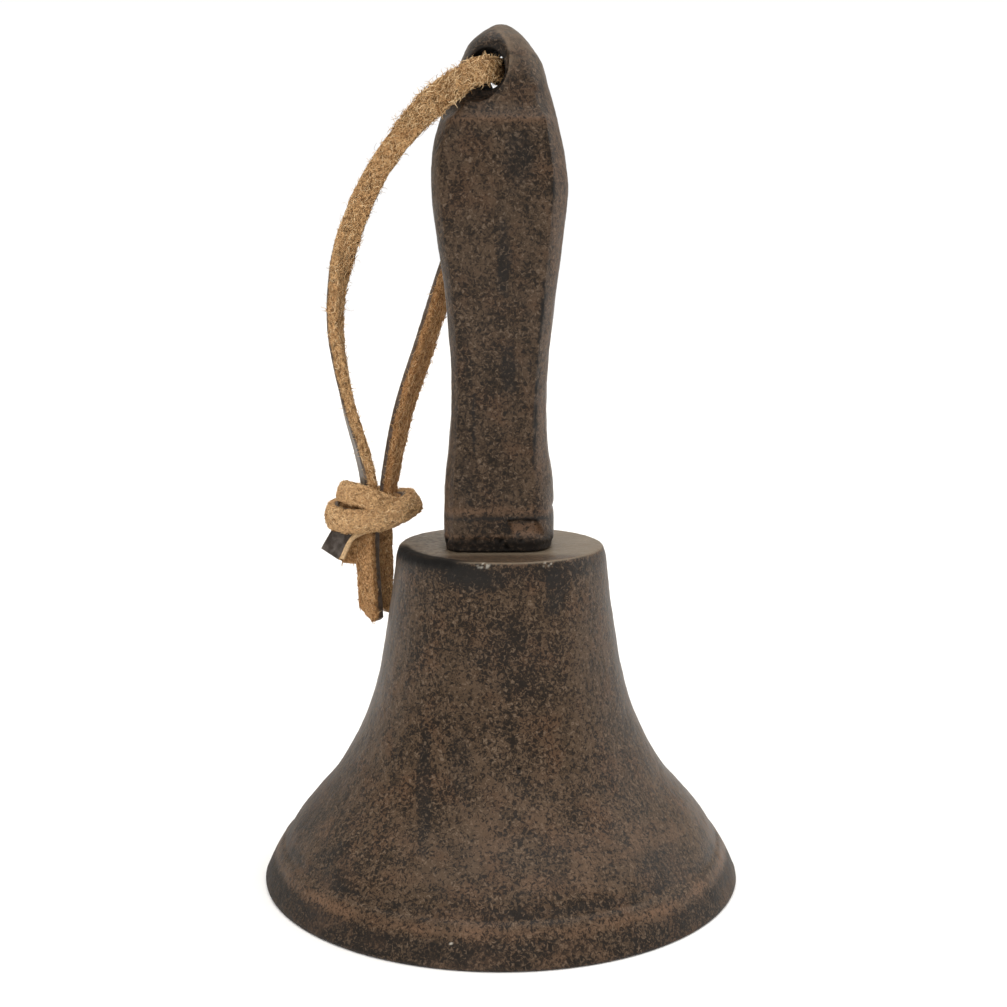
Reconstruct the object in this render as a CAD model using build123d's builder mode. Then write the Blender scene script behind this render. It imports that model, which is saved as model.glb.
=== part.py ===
from build123d import *
import math
import os

# A small cast-iron dinner bell: an open bell, a separate cast handle bolted on its crown,
# a clapper on a wire link inside, and a flat leather lace looped through the hole in the
# handle's head. Millimetres, +Z up, origin at the centre of the mouth's rim, on the surface
# that the bell stands on. The lace's hole runs along Y and its loop hangs on the -X side.

# ---- Bell ---------------------------------------------------------------------------
mouth_radius = 44.5
mouth_thickness = 3.7
bell_height = 62.7
crown_radius = 19.2
crown_thickness = 3.2
crown_hole_radius = 2.7
shoulder_round = 0.9
inner_crown_round = 2.5
lip_band_height = 7.1
lip_edge_round = 0.6

# ---- Handle -------------------------------------------------------------------------
# The faces of the handle are cast turned about Z from the direction of the lace's hole.
handle_turn = 20
# Height, half width, half depth, corner radius as a share of the half depth, and how far the
# section sits to the right of the bell's axis.
handle_stations = [
    (bell_height, 9.6, 9.6, 0.62, -0.3),
    (68.0, 9.95, 9.9, 0.58, -0.3),
    (74.0, 9.8, 9.5, 0.46, -0.4),
    (81.0, 8.95, 8.6, 0.36, -0.5),
    (88.0, 8.65, 8.2, 0.32, -0.45),
    (98.0, 9.1, 8.4, 0.32, -0.4),
    (110.0, 10.2, 9.1, 0.32, -0.25),
    (120.0, 11.55, 9.7, 0.32, -0.2),
    (127.5, 12.2, 9.9, 0.34, -0.2),
    (134.0, 11.6, 9.4, 0.40, -0.4),
    (139.0, 10.35, 8.4, 0.56, -0.35),
    (144.0, 8.75, 7.1, 0.76, -0.2),
    (149.0, 7.1, 6.2, 0.90, 0),
    (152.2, 5.2, 4.8, 0.92, -0.2),
    (153.9, 3.5, 3.2, 0.92, -0.1),
    (154.8, 1.9, 1.8, 0.92, 0),
]
handle_top_round = 0.4
hanger_hole_x = -0.7
hanger_hole_z = 147.1
hanger_hole_width = 6.0
hanger_hole_height = 6.9
hanger_flat_distance = 5.2
hanger_flat_radius = 5.6

# ---- Fasteners ------------------------------------------------------------------------
bolt_radius = 2.4
bolt_bore_radius = 2.5
bolt_engagement = 12.0
handle_bore_depth = 14.0
washer_radius = 7.5
washer_thickness = 1.2
spring_washer_radius = 4.6
spring_washer_bore = 2.6
spring_washer_thickness = 1.2
spring_washer_gap = 0.9
nut_across_flats = 8.0
nut_thickness = 4.0
nut_bore_radius = 2.45

# ---- Clapper --------------------------------------------------------------------------
eye_ring_radius = 3.2
eye_wire_radius = 1.25
link_ring_radius = 2.7
link_wire_radius = 0.9
link_straight = 2.4
rod_ring_radius = 3.0
rod_wire_radius = 1.2
chain_gap = 0.25
ball_radius = 8.5
ball_height = 12.0
ball_flat_depth = 0.2
rod_head_radius = 2.3
rod_head_thickness = 1.0

# ---- Lace -----------------------------------------------------------------------------
lace_width = 4.6
lace_thickness = 2.2
lace_tube_radius = 2.1
# Centre line of the lace from the middle of the hole, out of the front of the head and
# down to the knot.
front_run_points = [
    (-0.7, 0.0, 147.3),
    (-0.7, -4.2, 147.3),
    (-1.9, -8.3, 146.2),
    (-5.0, -10.6, 143.9),
    (-9.0, -11.4, 140.8),
    (-13.4, -11.0, 136.6),
    (-18.6, -10.2, 131.4),
    (-23.4, -9.0, 124.4),
    (-27.2, -7.8, 116.8),
    (-29.8, -6.4, 109.0),
    (-30.8, -5.2, 101.4),
    (-30.2, -4.0, 93.8),
    (-29.2, -2.8, 86.4),
    (-27.4, -1.8, 79.6),
    (-26.2, -1.2, 73.6),
    (-25.9, -0.9, 69.4),
]
# The same from the middle of the hole, out of the back of the head and down behind the
# handle to the knot.
rear_run_points = [
    (-0.7, 0.0, 147.3),
    (-0.7, 4.2, 147.3),
    (-1.3, 8.4, 146.6),
    (-2.9, 11.2, 144.4),
    (-5.0, 12.5, 140.2),
    (-7.6, 12.6, 134.0),
    (-9.8, 11.6, 127.0),
    (-11.6, 9.8, 119.6),
    (-13.5, 7.6, 112.0),
    (-15.6, 6.0, 104.4),
    (-17.6, 4.6, 96.8),
    (-19.8, 3.4, 90.0),
    (-21.4, 2.6, 83.6),
    (-22.4, 1.9, 77.6),
    (-23.2, 1.4, 72.6),
    (-23.5, 1.2, 69.0),
]
knot_centre = (-26.0, 0.0, 67.6)
knot_turn = 20
knot_half_length = 8.6
knot_radius = 5.0
front_tail_centre = (-27.9, -0.7)
rear_tail_centre = (-24.1, 0.2)
tail_turn = 60
tail_top = 65.5
front_tail_bottom = 46.0
rear_tail_bottom = 47.6
tail_tip_height = 3.0

os.makedirs("parts", exist_ok=True)


def save(piece, label):
    """Names a finished piece and writes it as a STEP file of that name."""
    piece.part.label = label
    export_step(piece.part, f"parts/{label}.step")


def widest_ring(piece, height):
    """The widest circular edge of a turned piece at a given height."""
    rings = piece.edges().filter_by(GeomType.CIRCLE)
    return rings.filter_by_position(Axis.Z, height - 0.1, height + 0.1).sort_by(SortBy.RADIUS)[-1]


# ---- Bell shell: one turned profile, open at the mouth, with a hole for the bolt ----------
crown_inside_z = bell_height - crown_thickness
lip_step_z = lip_band_height - 0.2
with BuildPart() as bell_shell:
    with BuildSketch(Plane.XZ):
        with BuildLine():
            outer_flare = Spline(
                (crown_radius, bell_height),
                (20.6, 50.0),
                (22.4, 40.0),
                (25.6, 29.5),
                (31.4, 19.0),
                (36.9, 12.6),
                (40.5, lip_band_height),
                tangents=((0.06, -1), (0.45, -1)),
            )
            lip_band = Polyline(
                outer_flare @ 1,
                (41.3, lip_step_z),
                (43.9, 1.6),
                (mouth_radius, 0.6),
                (mouth_radius, 0),
                (mouth_radius - mouth_thickness, 0),
            )
            inner_flare = Spline(
                lip_band @ 1,
                (38.4, 5.2),
                (34.9, 10.2),
                (28.9, 17.2),
                (22.8, 28.2),
                (19.5, 39.4),
                (17.6, 50.0),
                (16.4, crown_inside_z),
                tangents=((-0.3, 1), (-0.08, 1)),
            )
            Polyline(
                inner_flare @ 1,
                (crown_hole_radius, crown_inside_z),
                (crown_hole_radius, bell_height),
                outer_flare @ 0,
            )
        make_face()
    revolve(axis=Axis.Z)
    fillet(widest_ring(bell_shell, bell_height), radius=shoulder_round)
    fillet(widest_ring(bell_shell, crown_inside_z), radius=inner_crown_round)
    fillet(widest_ring(bell_shell, lip_step_z), radius=lip_edge_round)
save(bell_shell, "bell_shell")

# ---- Handle: soft-cornered loft with a drilled foot and a flattened, pierced head ---------
with BuildPart() as handle:
    for height, half_width, half_depth, corner_share, shift in handle_stations:
        section_plane = Plane.XY.offset(height).rotated((0, 0, handle_turn))
        with BuildSketch(section_plane):
            with Locations((shift, 0)):
                RectangleRounded(
                    2 * half_width,
                    2 * half_depth,
                    corner_share * half_depth,
                )
    loft()
    fillet(handle.faces().sort_by(Axis.Z)[-1].edges(), radius=handle_top_round)
    # Round flats on the front and back of the head, where the lace passes through
    for side in (-1, 1):
        flat_plane = Plane(
            origin=(hanger_hole_x, side * hanger_flat_distance, hanger_hole_z),
            z_dir=(0, side, 0),
        )
        with BuildSketch(flat_plane):
            Circle(hanger_flat_radius)
        extrude(amount=hanger_flat_radius, mode=Mode.SUBTRACT)
    with BuildSketch(Plane.XZ):
        with Locations((hanger_hole_x, hanger_hole_z)):
            Ellipse(hanger_hole_width / 2, hanger_hole_height / 2)
    extrude(amount=2 * hanger_flat_distance, both=True, mode=Mode.SUBTRACT)
    # Bore for the eye bolt
    with BuildSketch(Plane.XY.offset(bell_height)):
        Circle(bolt_bore_radius)
    extrude(amount=handle_bore_depth, mode=Mode.SUBTRACT)
save(handle, "handle")

# ---- Fasteners under the crown, stacked downwards on the eye bolt --------------------------
washer_top = crown_inside_z
spring_washer_top = washer_top - washer_thickness
nut_top = spring_washer_top - spring_washer_thickness
nut_bottom = nut_top - nut_thickness

with BuildPart() as crown_washer:
    with BuildSketch(Plane.XY.offset(washer_top - washer_thickness)):
        Circle(washer_radius)
        Circle(crown_hole_radius, mode=Mode.SUBTRACT)
    extrude(amount=washer_thickness)
    fillet(crown_washer.edges().filter_by(GeomType.CIRCLE).sort_by(SortBy.RADIUS)[-2:], radius=0.25)
save(crown_washer, "crown_washer")

with BuildPart() as spring_washer:
    with BuildSketch(Plane.XY.offset(spring_washer_top - spring_washer_thickness)):
        Circle(spring_washer_radius)
        Circle(spring_washer_bore, mode=Mode.SUBTRACT)
        with Locations((spring_washer_radius, 0)):
            Rectangle(spring_washer_radius, spring_washer_gap, rotation=12, mode=Mode.SUBTRACT)
    extrude(amount=spring_washer_thickness)
save(spring_washer, "spring_washer")

with BuildPart() as hex_nut:
    with BuildSketch(Plane.XY.offset(nut_bottom)):
        RegularPolygon(nut_across_flats / 2, 6, major_radius=False)
        Circle(nut_bore_radius, mode=Mode.SUBTRACT)
    extrude(amount=nut_thickness)
    # The turned chamfer that takes the six corners off both faces
    with BuildSketch(Plane.XZ):
        with BuildLine():
            corner = nut_across_flats / 2 / math.cos(math.radians(30))
            flat = nut_across_flats / 2 - 0.1
            drop = (corner - flat) * math.tan(math.radians(30))
            Polyline(
                (0, nut_bottom),
                (flat, nut_bottom),
                (corner, nut_bottom + drop),
                (corner, nut_top - drop),
                (flat, nut_top),
                (0, nut_top),
                close=True,
            )
        make_face()
    revolve(axis=Axis.Z, mode=Mode.INTERSECT)
save(hex_nut, "hex_nut")

# ---- Eye bolt: a shank through the crown into the handle, with a wire ring below the nut ---
eye_centre_z = nut_bottom - 0.1 - eye_ring_radius - eye_wire_radius
link_pivot_z = eye_centre_z - eye_ring_radius
with BuildPart() as eye_bolt:
    with BuildSketch(Plane.XY.offset(eye_centre_z + eye_ring_radius)):
        Circle(bolt_radius)
    extrude(amount=bell_height + bolt_engagement - eye_centre_z - eye_ring_radius)
    chamfer(eye_bolt.edges().sort_by(Axis.Z)[-1], length=0.6)
    with BuildSketch(Plane.XY.offset(eye_centre_z)):
        with Locations((eye_ring_radius, 0)):
            Circle(eye_wire_radius)
    ring_axis = Axis((0, 0, eye_centre_z), (0, 1, 0))
    revolve(axis=ring_axis)
save(eye_bolt, "eye_bolt")

# ---- Clapper link: a closed oval of wire that hangs in the eye and carries the rod ----------
link_top_z = link_pivot_z + eye_wire_radius + chain_gap + link_wire_radius
link_upper_z = link_top_z - link_ring_radius
link_lower_z = link_upper_z - link_straight
rod_pivot_z = link_lower_z - link_ring_radius
with BuildPart() as clapper_link:
    with BuildLine(Plane.YZ) as link_path:
        upper_arc = CenterArc((0, link_upper_z), link_ring_radius, 0, 180)
        left_side = Line(upper_arc @ 1, (-link_ring_radius, link_lower_z))
        lower_arc = CenterArc((0, link_lower_z), link_ring_radius, 180, 180)
        Line(lower_arc @ 1, upper_arc @ 0)
    with BuildSketch(Plane(origin=left_side @ 0, z_dir=left_side % 0)):
        Circle(link_wire_radius)
    sweep(path=link_path.wire())
save(clapper_link, "clapper_link")

# ---- Clapper rod: wire with a closed ring at the top and a peened head under the ball -------
rod_ring_z = rod_pivot_z + link_wire_radius + chain_gap + rod_wire_radius - rod_ring_radius
ball_bottom_z = ball_height - ball_radius + ball_flat_depth
with BuildPart() as clapper_rod:
    with BuildSketch(Plane.XY.offset(rod_ring_z)):
        with Locations((rod_ring_radius, 0)):
            Circle(rod_wire_radius)
    revolve(axis=Axis((0, 0, rod_ring_z), (0, 1, 0)))
    with BuildSketch(Plane.XY.offset(ball_bottom_z)):
        Circle(rod_wire_radius)
    extrude(amount=rod_ring_z - rod_ring_radius - ball_bottom_z)
    with BuildSketch(Plane.XY.offset(ball_bottom_z - rod_head_thickness)):
        Circle(rod_head_radius)
    extrude(amount=rod_head_thickness)
    head_edge = clapper_rod.edges().filter_by(GeomType.CIRCLE).sort_by(Axis.Z)[0]
    fillet(head_edge, radius=0.6)
save(clapper_rod, "clapper_rod")

# ---- Clapper ball: cast, flattened where the rod's head bears, with a running bore ----------
with BuildPart() as clapper_ball:
    with Locations((0, 0, ball_height)):
        Sphere(ball_radius)
    with Locations((0, 0, ball_bottom_z)):
        Box(
            2 * ball_radius,
            2 * ball_radius,
            ball_radius,
            align=(Align.CENTER, Align.CENTER, Align.MAX),
            mode=Mode.SUBTRACT,
        )
    with Locations((0, 0, ball_height)):
        Cylinder(rod_wire_radius + 0.02, 3 * ball_radius, mode=Mode.SUBTRACT)
save(clapper_ball, "clapper_ball")


def corner_radii(points):
    """The largest even arc at each inner point: 0.45 of the shorter run over tan(half turn)."""
    radii = []
    for before, at, after in zip(points, points[1:], points[2:]):
        run_in = Vector(*at) - Vector(*before)
        run_out = Vector(*after) - Vector(*at)
        half_turn = math.radians(run_in.get_angle(run_out)) / 2
        radii.append(0.45 * min(run_in.length, run_out.length) / math.tan(half_turn))
    return radii


def lace_run(points, label):
    """A plain round run of the lace along straight stretches joined by tangent arcs."""
    radii = corner_radii(points)
    with BuildPart() as run:
        with BuildLine() as route:
            FilletPolyline(*points, radius=radii)
        path = route.wire()
        with BuildSketch(Plane(origin=path @ 0, z_dir=path % 0)):
            Circle(lace_tube_radius)
        sweep(path=path)
    expected = math.pi * lace_tube_radius**2 * path.length
    print(label, "length", round(path.length, 1), "volume ratio", round(run.part.volume / expected, 4))
    print(label, "radii", [round(radius, 1) for radius in radii])
    save(run, label)


# ---- Lace: two runs from the hole to the knot, the knot and the two cut tails ----------------
lace_run(front_run_points, "lace_front_run")
lace_run(rear_run_points, "lace_rear_run")

with BuildPart() as lace_knot:
    knot_plane = Plane(origin=knot_centre).rotated((0, 0, knot_turn))
    with BuildSketch(knot_plane):
        Ellipse(knot_half_length, knot_radius)
        with Locations((0, -knot_radius)):
            Rectangle(2 * knot_half_length, 2 * knot_radius, mode=Mode.SUBTRACT)
    revolve(axis=Axis(knot_plane.origin, knot_plane.x_dir))
save(lace_knot, "lace_knot")


def lace_tail(centre, bottom, label):
    """A flat cut end of the lace, hanging from the knot to a tip cut to a point."""
    across = Plane(origin=(*centre, bottom), x_dir=(1, 0, 0), z_dir=(0, -1, 0))
    with BuildPart() as tail:
        with BuildSketch(across.rotated((0, 0, tail_turn))):
            with BuildLine():
                Polyline(
                    (0, 0),
                    (lace_width / 2, tail_tip_height),
                    (lace_width / 2, tail_top - bottom),
                    (-lace_width / 2, tail_top - bottom),
                    (-lace_width / 2, tail_tip_height),
                    close=True,
                )
            make_face()
        extrude(amount=lace_thickness / 2, both=True)
    save(tail, label)


lace_tail(front_tail_centre, front_tail_bottom, "lace_front_tail")
lace_tail(rear_tail_centre, rear_tail_bottom, "lace_rear_tail")
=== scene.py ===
import math

import bmesh
import bpy
import numpy as np
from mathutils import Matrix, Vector


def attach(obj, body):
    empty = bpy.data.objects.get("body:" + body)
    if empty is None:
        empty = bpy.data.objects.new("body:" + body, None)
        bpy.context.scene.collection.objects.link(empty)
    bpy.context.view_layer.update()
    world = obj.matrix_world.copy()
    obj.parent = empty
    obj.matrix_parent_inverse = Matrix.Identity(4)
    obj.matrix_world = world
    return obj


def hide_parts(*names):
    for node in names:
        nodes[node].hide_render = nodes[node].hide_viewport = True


# A small cast-iron dinner bell with its suede lace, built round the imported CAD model.
# Lengths inside the mesh code are millimetres, turned into metres when a mesh is made.

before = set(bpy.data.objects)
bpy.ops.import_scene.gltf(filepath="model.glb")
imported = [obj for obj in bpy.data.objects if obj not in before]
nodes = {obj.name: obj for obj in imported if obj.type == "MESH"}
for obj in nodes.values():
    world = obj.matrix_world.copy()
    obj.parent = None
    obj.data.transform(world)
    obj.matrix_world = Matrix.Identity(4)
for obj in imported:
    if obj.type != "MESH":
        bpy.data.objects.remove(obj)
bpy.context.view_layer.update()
MM = 0.001


def add_object(name, data):
    """A new object in the scene that holds a mesh, curve, light or camera."""
    made = bpy.data.objects.new(name, data)
    bpy.context.scene.collection.objects.link(made)
    return made


# ---- Camera
VIEW_TURN = math.radians(20)
VIEW_PITCH = math.radians(8.83)
CAMERA_DISTANCE = 0.27503
CAMERA_HEIGHT = 0.11288
SENSOR = 36
LENS = 54.05362
SIDE_SHIFT = 0.0024826

camera_data = bpy.data.cameras.new("camera")
camera_data.sensor_width = SENSOR
camera_data.lens = LENS
camera_data.shift_x = SIDE_SHIFT
camera_data.clip_start = 0.01
camera = add_object("camera", camera_data)
camera.location = (
    CAMERA_DISTANCE * math.sin(VIEW_TURN),
    -CAMERA_DISTANCE * math.cos(VIEW_TURN),
    CAMERA_HEIGHT,
)
camera.rotation_euler = (math.pi / 2 - VIEW_PITCH, 0, VIEW_TURN)
bpy.context.scene.camera = camera

# Directions of the handle's faces, which are cast turned from the lace's hole: across and away
ACROSS = np.array([math.cos(VIEW_TURN), math.sin(VIEW_TURN), 0.0])
AWAY = np.array([-math.sin(VIEW_TURN), math.cos(VIEW_TURN), 0.0])
UP = np.array([0.0, 0.0, 1.0])


# ---- Noise
table_random = np.random.RandomState(11)
SHUFFLE = np.tile(table_random.permutation(256), 3)
SLOPES = table_random.normal(size=(256, 3))
SLOPES /= np.linalg.norm(SLOPES, axis=1)[:, None]
TABLE_START = 31.7
SEED_STEP = 17.31
NOISE_GAIN = 1.6


def noise(points, scale, seed=0):
    """Smooth noise from about -1 to 1 at points in mm, in lumps of about that scale in mm."""
    place = points / np.asarray(scale, float) + TABLE_START + seed * SEED_STEP
    cell = np.floor(place).astype(int)
    part = place - cell
    ease = part**3 * (part * (part * 6 - 15) + 10)
    total = np.zeros(len(place))
    for corner in np.ndindex(2, 2, 2):
        index = (cell + corner) % 256
        chosen = SHUFFLE[SHUFFLE[SHUFFLE[index[:, 0]] + index[:, 1]] + index[:, 2]]
        weight = np.prod(np.where(corner, ease, 1 - ease), axis=1)
        total += weight * ((part - corner) * SLOPES[chosen]).sum(axis=1)
    return total * NOISE_GAIN


def layered(points, scales, sizes, seed=0):
    """Sum of noises of the given scales and sizes."""
    return sum(noise(points, s, seed + i) * a for i, (s, a) in enumerate(zip(scales, sizes)))


def smoothstep(value, low, high):
    """From 0 at low to 1 at high, with a soft start and end."""
    t = np.clip((value - low) / (high - low), 0, 1)
    return t * t * (3 - 2 * t)


def peak(value, width):
    """1 where value is 0, falling softly to nothing over about two widths."""
    return np.exp(-((value / width) ** 2))


# ---- Mesh helpers
def unit(vectors):
    """The vectors scaled to a length of 1."""
    return vectors / np.maximum(np.linalg.norm(vectors, axis=-1, keepdims=True), 1e-12)


def make_piece(name, points, faces, body, material, replaced, attributes):
    """A mesh from points in mm, riding on a body, material and attributes."""
    mesh = bpy.data.meshes.new(name)
    mesh.from_pydata((points * MM).tolist(), [], faces)
    mesh.shade_smooth()
    for key, values in attributes.items():
        layer = mesh.attributes.new(key, "FLOAT", "POINT")
        layer.data.foreach_set("value", np.asarray(values, np.float32))
    mesh.materials.append(material)
    piece = add_object(name, mesh)
    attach(piece, body)
    if replaced:
        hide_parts(*replaced)
    return piece


def ring_faces(rows, columns, closed_rows=False):
    """Quads over a grid of rows of closed rings; closed_rows also joins the last row to the first."""
    row = np.arange(rows if closed_rows else rows - 1)[:, None]
    column = np.arange(columns)
    here, above = row * columns, (row + 1) % rows * columns
    right = (column + 1) % columns
    return np.stack([above + column, above + right, here + right, here + column], axis=-1).reshape(-1, 4)


def grid_normals(grid, closed_rows=False):
    """Unit normals of a grid of closed rings, pointing out of the faces ring_faces makes."""
    around = np.roll(grid, -1, axis=1) - np.roll(grid, 1, axis=1)
    if closed_rows:
        along = np.roll(grid, -1, axis=0) - np.roll(grid, 1, axis=0)
    else:
        along = np.gradient(grid, axis=0)
    return unit(np.cross(along, around))


# ---- Materials
class Nodes:
    """A node tree under construction, with short ways to add its nodes."""

    def __init__(self, tree):
        self.tree = tree

    def add(self, kind, inputs=None, output=0, **settings):
        node = self.tree.nodes.new(kind)
        for key, value in settings.items():
            setattr(node, key, value)
        for key, value in (inputs or {}).items():
            self.set(node.inputs[key], value)
        return node.outputs[output]

    def set(self, socket, value):
        if isinstance(value, bpy.types.NodeSocket):
            self.tree.links.new(value, socket)
        else:
            socket.default_value = value

    def vector(self, operation, first, second, output=0):
        return self.add("ShaderNodeVectorMath", {0: first, 1: second}, output, operation=operation)

    def ramp(self, value, low, high, start=0.0, end=1.0):
        """Smooth step of value between low and high, from start to end."""
        return self.add(
            "ShaderNodeMapRange",
            {"Value": value, "From Min": low, "From Max": high, "To Min": start, "To Max": end},
            interpolation_type="SMOOTHSTEP",
        )

    def math(self, operation, first, second=0.0, clamp=False):
        return self.add("ShaderNodeMath", {0: first, 1: second}, operation=operation, use_clamp=clamp)

    def plus(self, first, second, clamp=False):
        return self.math("ADD", first, second, clamp)

    def minus(self, first, second):
        return self.math("SUBTRACT", first, second)

    def times(self, first, second, clamp=False):
        return self.math("MULTIPLY", first, second, clamp)


class Material(Nodes):
    """A material under construction, whose textures are sized in mm of the object."""

    def __init__(self, name):
        self.material = bpy.data.materials.new(name)
        self.material.use_nodes = True
        super().__init__(self.material.node_tree)
        self.shader = self.tree.nodes["Principled BSDF"]
        coordinates = self.tree.nodes.new("ShaderNodeTexCoord")
        self.place = self.vector("MULTIPLY", coordinates.outputs["Object"], (1 / MM, 1 / MM, 1 / MM))

    def noise(self, size, detail=4.0, roughness=0.6, stretch=None, distortion=0.0):
        """Noise whose lumps are about size mm across."""
        place = self.place if stretch is None else self.vector("MULTIPLY", self.place, stretch)
        return self.add("ShaderNodeTexNoise", {
            "Vector": place, "Scale": 1 / size, "Detail": detail, "Roughness": roughness,
            "Distortion": distortion,
        })

    def mix(self, share, first, second, blend="MIX"):
        """Colour mix; colours are RGB or sockets."""
        first = first if isinstance(first, bpy.types.NodeSocket) else (*first, 1)
        second = second if isinstance(second, bpy.types.NodeSocket) else (*second, 1)
        node = self.tree.nodes.new("ShaderNodeMix")
        node.data_type = "RGBA"
        node.blend_type = blend
        self.set(node.inputs[0], share)
        self.set(node.inputs[6], first)
        self.set(node.inputs[7], second)
        return node.outputs[2]

    def attribute(self, name):
        """A value painted on the mesh."""
        return self.add("ShaderNodeAttribute", output=2, attribute_name=name)

    def bump(self, height, distance, strength=1.0, normal=None):
        """Bump of a height from 0 to 1 over a distance in mm."""
        inputs = {"Height": height, "Distance": distance * MM, "Strength": strength}
        if normal is not None:
            inputs["Normal"] = normal
        return self.add("ShaderNodeBump", inputs)

    def finish(self, colour, roughness, normal=None, **constants):
        """Joins colour, roughness and normal to the shader, and sets its other values."""
        self.set(self.shader.inputs["Base Color"], colour)
        self.set(self.shader.inputs["Roughness"], roughness)
        if normal is not None:
            self.set(self.shader.inputs["Normal"], normal)
        for key, value in constants.items():
            self.shader.inputs[key.replace("_", " ")].default_value = value
        return self.material


def cast_iron(name, streak=0.45, grain=0.56, mottle=0.22, edge=(0.38, 0.56), tone=(1.0, 1.0, 1.0)):
    """Waxed dark patina on cast iron: brown grains in a near-black network, denser in patches.

    streak is how fast the broad patches change down the casting, grain the size of the grains in mm,
    mottle how strong the middle-sized patches are, edge where the network fades out, and tone a tint.
    """
    m = Material(name)
    broad = m.noise(11, 4, 0.6, stretch=(1, 1, streak))
    middle = m.noise(2.2, 3, 0.6, stretch=(1, 1, 0.6), distortion=0.3)
    fine = m.noise(grain, 1.8, 0.6, distortion=0.9)
    grit = m.noise(0.2, 1.5, 0.5)
    smooth_and_sheen, dark, painted_shade = m.attribute("smooth_and_sheen"), m.attribute("dark"), m.attribute("painted_shade")
    # Where the patina is darker, more of the surface is network and less is grain
    cover = m.times(m.minus(broad, 0.5), 0.3)
    cover = m.plus(cover, m.times(m.minus(middle, 0.5), mottle))
    cover = m.minus(cover, m.times(dark, 0.1))
    network = m.ramp(m.plus(fine, cover), *edge, 1, 0)
    brown = m.mix(m.ramp(middle, 0.36, 0.64), (0.052, 0.034, 0.02), (0.075, 0.05, 0.031))
    brown = m.mix(m.ramp(m.noise(7, 3, 0.6), 0.46, 0.7, 0, 0.65), brown, (0.08, 0.044, 0.024))
    colour = m.mix(m.times(m.ramp(fine, 0.58, 0.7), 0.7), brown, (0.15, 0.113, 0.081))
    colour = m.mix(m.times(network, 0.9), colour, (0.006, 0.0043, 0.0031))
    # Bluish grey: patina blotches, and also painted shade and a painted reflection that the meshes add
    bluish = m.times(dark, 0.45, clamp=True)
    colour = m.mix(bluish, colour, (0.0125, 0.0123, 0.0122))
    colour = m.mix(1.0, colour, tone, "MULTIPLY")
    # Lighter colour and flatter grain: a smoother patina, also painted sheen and painted highlights
    colour = m.mix(m.times(smooth_and_sheen, 0.85), colour, (0.195, 0.154, 0.108))
    # Rust brown, also standing in for painted highlights and a painted reflection
    rust_and_light_share = m.times(m.attribute("rust_and_painted_light"), m.ramp(fine, 0.28, 0.6))
    colour = m.mix(rust_and_light_share, colour, (0.13, 0.074, 0.043))
    # Near black and rougher: painted shade
    colour = m.mix(painted_shade, colour, (0.003, 0.0024, 0.002))
    # Pale flecks: painted glints
    colour = m.mix(m.attribute("glint"), colour, (0.62, 0.58, 0.5))
    roughness = m.plus(m.times(fine, 0.3), 0.29)
    roughness = m.plus(roughness, m.times(painted_shade, 0.6), clamp=True)
    height = m.plus(fine, m.times(grit, 0.45))
    height = m.times(height, m.minus(1.0, m.times(smooth_and_sheen, 0.5)))
    coarse = m.bump(m.noise(2.4, 3, 0.6), 0.12, 0.7)
    normal = m.bump(height, 0.085, 1.0, coarse)
    return m.finish(colour, roughness, normal, Specular_IOR_Level=0.22)


def zinc_steel(name):
    """Dull zinc-plated steel with faint stains."""
    m = Material(name)
    cloud = m.noise(2.4, 5, 0.6)
    fine = m.noise(0.4, 3, 0.6)
    colour = m.mix(m.ramp(cloud, 0.35, 0.68), (0.34, 0.335, 0.32), (0.54, 0.53, 0.5))
    stain = m.ramp(m.noise(3.1, 6, 0.7, distortion=0.6), 0.56, 0.7)
    colour = m.mix(m.times(stain, 0.75), colour, (0.19, 0.105, 0.055))
    roughness = m.ramp(fine, 0.3, 0.7, 0.3, 0.52)
    return m.finish(colour, roughness, m.bump(fine, 0.02, 0.7), Metallic=0.85)


def black_wire(name):
    """Oxide-black steel wire rubbed brown."""
    m = Material(name)
    cloud = m.noise(1.8, 5, 0.65)
    fine = m.noise(0.35, 3, 0.6)
    colour = m.mix(m.ramp(cloud, 0.4, 0.65), (0.03, 0.027, 0.025), (0.085, 0.052, 0.033))
    roughness = m.ramp(fine, 0.3, 0.7, 0.34, 0.58)
    return m.finish(colour, roughness, m.bump(fine, 0.025, 0.8), Metallic=0.55)


def suede(name):
    """Split leather: tan napped flesh side and cut edges, smooth grey-brown grain side."""
    m = Material(name)
    nap = m.noise(0.42, 4, 0.65, distortion=1.1)
    patch = m.noise(3.5, 4, 0.6)
    tan = m.mix(m.ramp(nap, 0.36, 0.62), (0.165, 0.08, 0.029), (0.74, 0.455, 0.215))
    tan = m.mix(m.ramp(patch, 0.38, 0.66, 0.0, 0.45), tan, (0.42, 0.215, 0.09))
    # Painted shade: the whole nap darker where deep is set, then darker in its hollows
    tan = m.mix(m.attribute("deep"), tan, (0.66, 0.55, 0.46), "MULTIPLY")
    tan = m.mix(m.attribute("hollow"), tan, (0.08, 0.038, 0.016))
    tan = m.mix(m.attribute("pale"), tan, (0.82, 0.6, 0.36))
    pores = m.noise(0.28, 3, 0.6)
    hide = m.mix(m.ramp(m.noise(1.6, 4, 0.6), 0.35, 0.68), (0.034, 0.026, 0.022), (0.1, 0.084, 0.074))
    hide = m.mix(m.ramp(pores, 0.6, 0.75, 0, 0.5), hide, (0.18, 0.155, 0.135))
    grain = m.attribute("grain")
    colour = m.mix(grain, tan, hide)
    roughness = m.minus(0.95, m.times(grain, 0.5))
    height = m.times(nap, m.minus(1.0, m.times(grain, 0.85)))
    normal = m.bump(height, 0.3, 1.0)
    return m.finish(
        colour, roughness, normal,
        Specular_IOR_Level=0.25, Sheen_Weight=0.12, Sheen_Roughness=0.5,
        Sheen_Tint=(0.95, 0.74, 0.48, 1),
    )


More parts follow.
